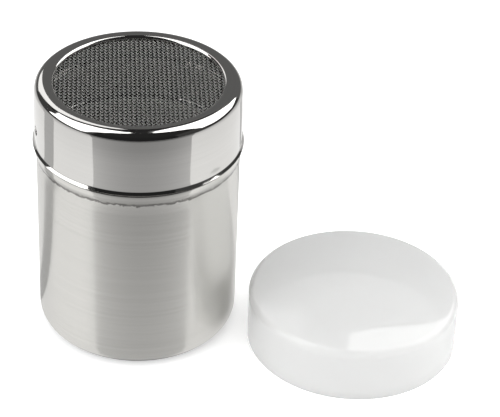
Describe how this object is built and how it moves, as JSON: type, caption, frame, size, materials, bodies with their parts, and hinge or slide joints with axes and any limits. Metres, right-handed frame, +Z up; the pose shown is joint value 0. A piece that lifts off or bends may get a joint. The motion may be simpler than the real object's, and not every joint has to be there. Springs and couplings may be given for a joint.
{
  "type": "sieve shaker",
  "caption": "Round steel kitchen shaker for icing sugar or cocoa: a drawn cup, a lift-off lid with a woven wire sieve, and a translucent plastic cap standing beside it.",
  "frame": {"origin": "centre of the underside of the cup's base, on the surface it stands on", "axes": "+Z up along the cup's axis; +X to the right, towards the cap that stands beside the cup; the picture looks along +Y and down"},
  "size_m": [0.1488, 0.0823, 0.0954],
  "materials": {
    "brushed_steel": "stainless steel, brushed round the cup, satin",
    "polished_steel": "stainless steel, polished bright",
    "wire_steel": "drawn stainless steel wire, plain woven",
    "cap_plastic": "milky translucent plastic, smooth and glossy"
  },
  "bodies": {
    "cup": {"cup": "brushed_steel"},
    "sieve_lid": {"lid_collar": "polished_steel", "mesh_warp_wires": "wire_steel", "mesh_weft_wires": "wire_steel", "mesh_ring": "polished_steel"},
    "cap": {"cap": "cap_plastic"}
  },
  "joints": [
    {"name": "lid_lift", "type": "slide", "parent": "cup", "child": "sieve_lid", "axis": [0, 0, 1], "range_m": [0, 0.03]},
    {"name": "cap_lift", "type": "slide", "parent": "cup", "child": "cap", "axis": [0, 0, 1], "range_m": [0, 0.1]}
  ]
}
